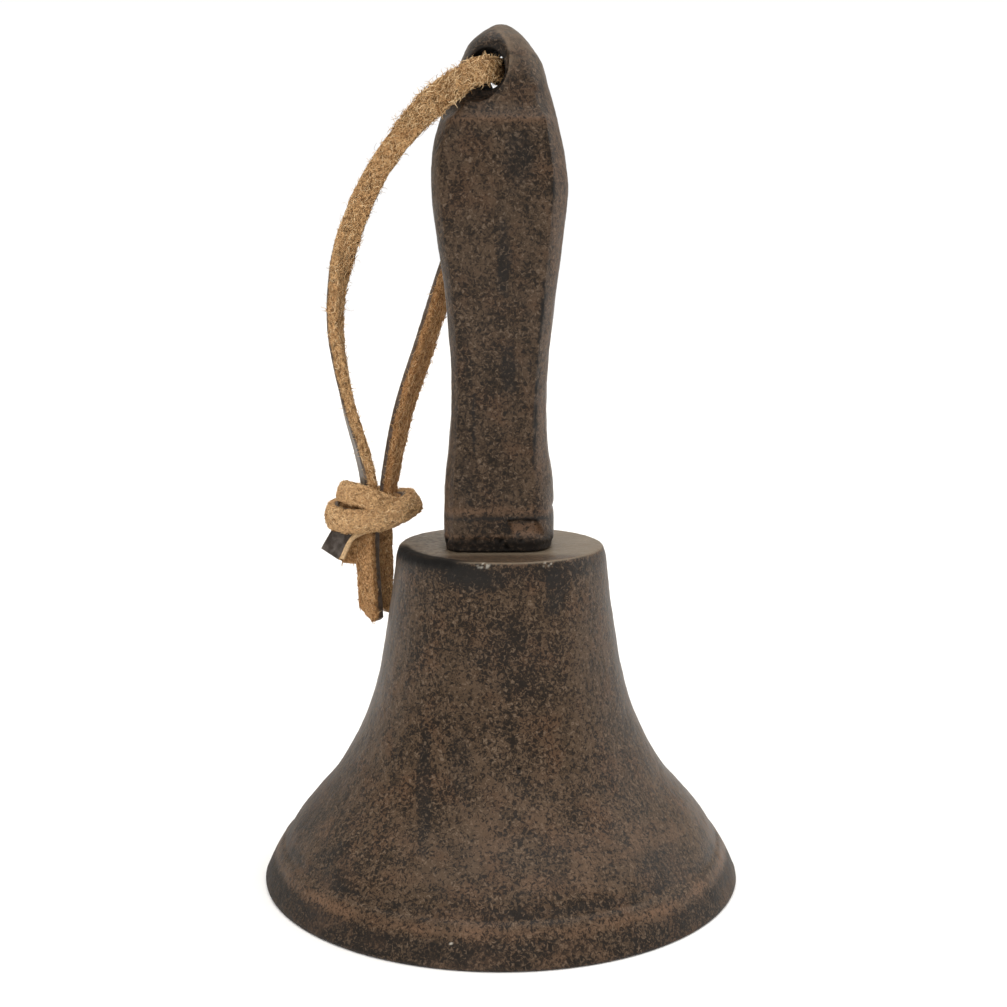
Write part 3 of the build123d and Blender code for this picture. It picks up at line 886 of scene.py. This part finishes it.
# ---- Handle
# Height, half width, half depth, shift across, then the right and left corners' reach across and away
HANDLE_STATIONS = np.array([
    (62.75, 9.75, 9.7, -0.3, 3.4, 4.4, 1.6, 2.4), (63.6, 9.9, 9.8, -0.3, 3.4, 4.4, 1.6, 2.4),
    (66.0, 9.95, 9.85, -0.3, 3.4, 4.6, 1.7, 2.6), (68.0, 9.95, 9.9, -0.3, 3.4, 4.8, 1.8, 2.8),
    (74.0, 9.8, 9.5, -0.4, 3.4, 5.0, 1.8, 3.2), (81.0, 8.95, 8.6, -0.55, 2.6, 4.2, 1.4, 2.8),
    (88.0, 8.65, 8.2, -0.46, 2.3, 3.8, 1.3, 2.6), (98.0, 8.92, 8.4, -0.24, 2.0, 3.6, 1.3, 2.6),
    (110.0, 10.0, 9.1, -0.06, 2.2, 3.8, 1.4, 2.8), (120.0, 11.47, 9.7, -0.1, 2.7, 4.4, 1.5, 3.0),
    (127.5, 12.2, 9.9, -0.2, 2.8, 4.6, 1.7, 3.2), (134.0, 11.6, 9.4, -0.45, 2.6, 4.6, 2.0, 3.6),
    (139.0, 10.35, 8.4, -0.35, 2.4, 4.6, 2.6, 4.4), (144.0, 8.75, 7.1, -0.2, 3.6, 5.0, 4.6, 5.0),
    (149.0, 7.1, 6.2, 0.0, 5.6, 5.4, 5.6, 5.4), (152.2, 5.2, 4.8, -0.3, 4.6, 4.4, 4.6, 4.4),
    (153.9, 3.4, 3.1, -0.15, 3.1, 2.9, 3.1, 2.9), (154.8, 1.9, 1.8, 0.0, 1.75, 1.65, 1.75, 1.65),
    (155.1, 1.2, 1.1, 0.0, 1.1, 1.0, 1.1, 1.0),
])


def handle_section(row, share=12):
    """Outline with worn facets for corners and faintly crowned sides, from the right side's middle round."""
    half_width, half_depth = row[:2] - RELIEF_ROOM
    right, left = row[3:5], row[5:7]
    bulge = 0.25 if row[0] > 5 else 0.1
    arcs = []
    for quarter, (sx, sy, reach) in enumerate([(1, 1, right), (-1, 1, left), (-1, -1, left), (1, -1, right)]):
        a = np.radians(np.linspace(quarter * 90, quarter * 90 + 90, share))
        arc = np.stack([
            sx * (half_width - reach[0]) + reach[0] * np.cos(a),
            sy * (half_depth - reach[1]) + reach[1] * np.sin(a),
        ], axis=1)
        chord = arc[:1] + (arc[-1:] - arc[:1]) * np.linspace(0, 1, share)[:, None]
        flatness = 0.75 * smoothstep(reach[0] / half_width, 0.45, 0.28)
        arcs.append(arc + (chord - arc) * flatness)
    points = []
    for quarter, arc in enumerate(arcs):
        points += list(arc)
        end = arcs[(quarter + 1) % 4][0]
        a = math.radians((quarter + 1) * 90)
        out = np.array((math.cos(a), math.sin(a)))
        for t in np.arange(1, share) / share:
            points.append(arc[-1] + (end - arc[-1]) * t + out * bulge * 4 * t * (1 - t))
    return np.array(points)


def rough_object(name, rings):
    """A closed object from rings of points in mm, for shaping with modifiers."""
    rows, columns = rings.shape[:2]
    first = list(range(columns))
    ends = [first[::-1], [(rows - 1) * columns + index for index in first]]
    mesh = bpy.data.meshes.new(name)
    sides = ring_faces(rows, columns)[:, ::-1].tolist()
    mesh.from_pydata(rings.reshape(-1, 3).tolist(), [], sides + ends)
    shell = bmesh.new()
    shell.from_mesh(mesh)
    bmesh.ops.recalc_face_normals(shell, faces=shell.faces)
    shell.to_mesh(mesh)
    shell.free()
    return add_object(name, mesh)


def cutter(name, rows, shift=0.0, slant=0.0, raised=0.0):
    """A closed cutter from rows of (y, half width, half height) about the lace's hole.

    It is shifted across, raised, and set back by slant for each mm to the right.
    """
    angle = np.linspace(0, 2 * math.pi, 72, endpoint=False)
    rings = []
    for y, half_width, half_height in rows:
        x = shift + half_width * np.cos(angle)
        rings.append(np.stack([HOLE_X + x, y + slant * x, HOLE_Z + raised + half_height * np.sin(angle)], 1))
    return rough_object(name, np.array(rings))


def vertex_values(mesh, name):
    """One vector for each vertex of a mesh."""
    values = np.zeros(len(mesh.vertices) * 3)
    mesh.vertices.foreach_get(name, values)
    return values.reshape(-1, 3)


RELIEF_ROOM = 0.2
JOINT_GAP = 0.04
VOXEL = 0.24
HOLE_HALF_WIDTH, HOLE_HALF_HEIGHT = 3.0, 3.45
# The flats round the hole on the head's front and back: shifted left, slanted and raised
FLAT_HALF_WIDTH, FLAT_HALF_HEIGHT = 4.9, 6.1
FLAT_SHIFT = -0.9
FLAT_SLANT = 0.18
FLAT_RAISED = 0.8
FRONT_FLAT = [(-14, 5.6, 7.0), (-5.6, FLAT_HALF_WIDTH, FLAT_HALF_HEIGHT), (-5.15, 4.5, 5.7)]
REAR_FLAT = [(-y, half_width, half_height) for y, half_width, half_height in FRONT_FLAT[::-1]]

levels = np.concatenate([np.arange(62.75, 154.2, 0.45), [154.4, 154.7, 154.95, 155.1]])
stations = through(HANDLE_STATIONS, 0.2)
here = np.stack([np.interp(levels, stations[:, 0], stations[:, i]) for i in range(1, 8)], axis=1)
sections = np.array([handle_section(row) for row in here])
rings = (sections[..., :1] + here[:, 2, None, None]) * ACROSS + sections[..., 1:] * AWAY
blank = rough_object("handle_blank", rings + levels[:, None, None] * UP)
cutters = [
    cutter("hole", [(y, HOLE_HALF_WIDTH, HOLE_HALF_HEIGHT) for y in (-12, 12)]),
    cutter("front_flat", FRONT_FLAT, FLAT_SHIFT, FLAT_SLANT, FLAT_RAISED),
    cutter("rear_flat", REAR_FLAT, FLAT_SHIFT, FLAT_SLANT, FLAT_RAISED),
]
for tool in cutters:
    cut = blank.modifiers.new(tool.name, "BOOLEAN")
    cut.operation = "DIFFERENCE"
    cut.solver = "EXACT"
    cut.object = tool
remesh = blank.modifiers.new("remesh", "REMESH")
remesh.mode = "VOXEL"
remesh.voxel_size = VOXEL
relax = blank.modifiers.new("relax", "SMOOTH")
relax.factor = 0.5
relax.iterations = 4
bpy.context.view_layer.update()
shape = bpy.data.meshes.new_from_object(blank.evaluated_get(bpy.context.evaluated_depsgraph_get()))
places, out = vertex_values(shape, "co"), vertex_values(shape, "normal")
handle_faces = [tuple(face.vertices) for face in shape.polygons]
for made in [blank, *cutters]:
    bpy.data.objects.remove(made)

# Cast relief: ridges and a notch round the foot and the shoulder, a chip, pits along the joint
across, toward, up = placed(places)
from_hole_x, from_hole_z = places[:, 0] - HOLE_X, up - HOLE_Z
side_wave = noise(places * [1, 1, 0], 9, 5)
ragged = layered(places, (2.4, 1.0), (0.6, 0.4), 15)
side_break = noise(places, (9, 9, 14), 17)
front = smoothstep(toward, 4.5, 8.0)
ridge = peak(up - 69.9 - 0.7 * side_wave - 0.2 * ragged, 0.6) * 0.22 * front
low_ridge = peak(up - 65.6 - 0.2 * side_wave, 0.4) * 0.16 * front * smoothstep(across, 3, 0)
notch = peak(up - 70.2, 0.7) * 0.28 * smoothstep(across, 7.5, 9.3)
shoulder_ridge = peak(up - 138.3, 0.9) * 0.26 * front
neck = peak(up - 141.2, 1.6) * 0.22 * front
undercut = smoothstep(up + 0.35 * ragged, 64.8, 63.6) * 0.22
pits = smoothstep(ragged, 0.15, 0.6) * smoothstep(np.abs(up - 64.4), 1.3, 0.7) * 0.35 * front
chip_across, chip_up = across - 4.3, up - 67.4 + 0.15 * side_wave
chip = front * smoothstep(np.abs(chip_across + 0.3 * chip_up + 0.5 * ragged), 2.9, 2.1) * 0.95
chip *= smoothstep(chip_up + 0.35 * ragged, 1.55, 1.1) * smoothstep(chip_up, -2.2, -0.4)
relief = layered(places, (22, 8, 3.0, 1.2, 0.7), (0.16, 0.12, 0.06, 0.035, 0.022), 12)
relief *= 0.25 + 0.75 * smoothstep(np.hypot(from_hole_x, from_hole_z), 3.6, 5.6)
relief += ridge + low_ridge + shoulder_ridge - notch - neck - undercut - pits - chip
handle_moved = places + out * relief[:, None]
handle_moved[:, 2] = np.maximum(handle_moved[:, 2], BELL_HEIGHT + JOINT_GAP)

# Painted marks: painted shade in the bore, the flat, the crease, the chip's top, under the ridge and round
# the foot's joint; a painted highlight on the flat's edge and painted light on the cheek; rust on the chip, a
# browner right facet, cracks and stains
bore = np.hypot(from_hole_x / HOLE_HALF_WIDTH, from_hole_z / HOLE_HALF_HEIGHT)
flat_far = np.hypot(
    (from_hole_x - FLAT_SHIFT) / FLAT_HALF_WIDTH, (from_hole_z - FLAT_RAISED) / FLAT_HALF_HEIGHT
) + 0.04 * ragged
# Painted highlight along the flat's edge
flat_edge_highlight = peak(flat_far - 1.06, 0.05) * (places[:, 1] < 0) * smoothstep(up, 143, 147)
facet_line = np.interp(
    up, [74, 81, 98, 110, 120, 127.5, 134, 141, 145], [6.0, 5.8, 6.7, 7.7, 8.7, 9.2, 8.6, 7.4, 7.0]
)
# Painted shade in the crease beside the right facet
crease_shade = peak(across - facet_line + 0.45 * ragged, 0.28) * smoothstep(up, 76, 82) * smoothstep(up, 132, 124)
crease_shade *= smoothstep(ragged + 0.8 * side_break, -0.25, 0.35) * (toward > 3)
right_facet = smoothstep(across, facet_line + 0.2, facet_line + 0.9) * smoothstep(up, 72, 80) * (toward > 0)
# Painted light on the cheek to the right of the flat
cheek = smoothstep(up, 144, 150) * smoothstep(flat_far, 1.0, 1.1) * smoothstep(across, -3.0, 1.5)
left_crack = peak(across + 4.7 + 0.4 * ragged, 0.25) * smoothstep(np.abs(up - 86), 7.5, 5.5)
# Painted shade round the foot's joint, in the flat and in the bore, and along the crease
dark = smoothstep(up, 66.3, 64.0) * 1.2 + smoothstep(flat_far, 1.02, 0.93) * 0.3
dark += smoothstep(bore, 1.8, 1.1) * 0.6 + crease_shade * 1.6
# Painted shade under the ridge and at the chip's top edge, and dark cracks and stains
dark += front * (
    peak(up - 68.7 - 0.6 * side_wave - 0.3 * ragged, 0.3) * 1.2
    + peak(chip_up - 1.35, 0.3) * smoothstep(np.abs(chip_across), 3.0, 2.4)
    + left_crack * smoothstep(ragged, -0.3, 0.2) * 1.3
    + stains(places, [
        ((2.9, 131), (2.8, 5.4), 0.8, 51), ((0.5, 115), (1.3, 9), 0.8, 52), ((1.5, 96), (1.6, 5), 0.8, 53),
        ((-6.5, 76), (2.0, 5), 0.4, 56),
    ])
)
# Rust on the chip, also standing in for painted light on its lower part; lighter brown along the ridges; a
# painted highlight on the flat's edge, painted light on the cheek, a browner right facet
rust_and_painted_light = chip * 1.5 * smoothstep(chip_up, 1.0, 0.1) + ridge * 3.2 + low_ridge * 3.0 + shoulder_ridge * 2.4
rust_and_painted_light += flat_edge_highlight * 0.3 + cheek * 0.2 + right_facet * 0.3
# Painted shade in the bore, the pits, the crease and the cavities at the foot's bottom
painted_shade = smoothstep(bore, 1.12, 1.0) + pits * 2.4 + np.clip(crease_shade, 0, 1) * 0.5
painted_shade += smoothstep(ragged, 0.0, 0.5) * smoothstep(up, 65.4, 64.6) * 0.7
make_piece(
    "handle_casting", handle_moved, handle_faces, "bell_and_handle", handle_iron, ["handle"],
    {
        "rust_and_painted_light": np.clip(rust_and_painted_light, 0, 1), "dark": dark, "painted_shade": np.clip(painted_shade, 0, 1),
        # Painted highlight on the flat's edge and painted light on the cheek
        "smooth_and_sheen": np.clip(flat_edge_highlight * 0.45 + cheek * 0.3, 0, 1) * smoothstep(ragged, -0.6, 0.2),
        "glint": np.zeros(len(places)),
    },
)

# ---- Fasteners and clapper: CAD nodes with their own finishes
FINISHES = {
    "eye_bolt": steel, "crown_washer": steel, "spring_washer": steel, "hex_nut": steel,
    "clapper_link": wire, "clapper_rod": wire, "clapper_ball": ball_iron,
}
for node_name, finish in FINISHES.items():
    mesh = nodes[node_name].data
    mesh.materials.clear()
    mesh.materials.append(finish)

# ---- Floor and light
FLOOR_HALF = 3.0
FLOOR_DROP = 0.00005
floor_material = Material("floor_white")
floor_tone = floor_material.mix(
    floor_material.ramp(floor_material.noise(60, 3, 0.5), 0.3, 0.7), (0.9, 0.9, 0.9), (0.94, 0.94, 0.94)
)
floor_material.finish(floor_tone, 0.8, Specular_IOR_Level=0.1)
floor_corners = [(x * FLOOR_HALF, y * FLOOR_HALF, 0) for x, y in ((-1, -1), (1, -1), (1, 1), (-1, 1))]
floor_mesh = bpy.data.meshes.new("floor")
floor_mesh.from_pydata(floor_corners, [], [(0, 1, 2, 3)])
floor_mesh.materials.append(floor_material.material)
floor = add_object("floor", floor_mesh)
floor.location.z = -FLOOR_DROP

# The camera sees white; the object is lit by a room that is dimmer in front than the white sweep behind
# it and the panels above
world = bpy.data.worlds.new("studio")
world.use_nodes = True
bpy.context.scene.world = world
sky = Nodes(world.node_tree)
backdrop = sky.tree.nodes["Background"]
sky.set(backdrop.inputs["Color"], (1, 1, 1, 1))
sky.set(backdrop.inputs["Strength"], 1.02)
direction = sky.add("ShaderNodeTexCoord")
behind = sky.vector("DOT_PRODUCT", direction, tuple(AWAY), 1)
above = sky.vector("DOT_PRODUCT", direction, (0, 0, 1), 1)
strength = sky.plus(sky.ramp(behind, -0.25, 0.6, 0.24, 0.8), sky.ramp(above, 0.25, 0.9, 0.0, 0.5))
room = sky.add("ShaderNodeBackground", {"Color": (1, 0.95, 0.875, 1), "Strength": strength})
seen = sky.add("ShaderNodeLightPath")
blend = sky.add("ShaderNodeMixShader", {0: seen, 1: room, 2: backdrop.outputs[0]})
sky.set(sky.tree.nodes["World Output"].inputs["Surface"], blend)


def add_light(name, kind, way, energy, **settings):
    """A light that shines along a direction."""
    data = bpy.data.lights.new(name, kind)
    data.energy = energy
    for key, value in settings.items():
        setattr(data, key, value)
    light = add_object(name, data)
    light.rotation_euler = Vector(way).to_track_quat("-Z", "Y").to_euler()
    return light


add_light("overhead_light", "SUN", (-0.17, 0.2, -1), 1.5, angle=math.radians(70))
# Diffuse fill from the front, a little above and to the left, that leaves no reflections on the iron
front_fill = add_light("front_fill", "SUN", AWAY + ACROSS * 0.35 - UP * 0.45, 1.1, angle=math.radians(60))
front_fill.visible_glossy = False
softbox_place, softbox_target = np.array((0.6, 0.3, 0.4)), np.array((0, 0, 0.08))
right_softbox = add_light(
    "right_softbox", "AREA", softbox_target - softbox_place, 1.3, shape="RECTANGLE", size=0.3, size_y=0.6
)
right_softbox.location = softbox_place

bpy.context.scene.view_settings.view_transform = "Standard"
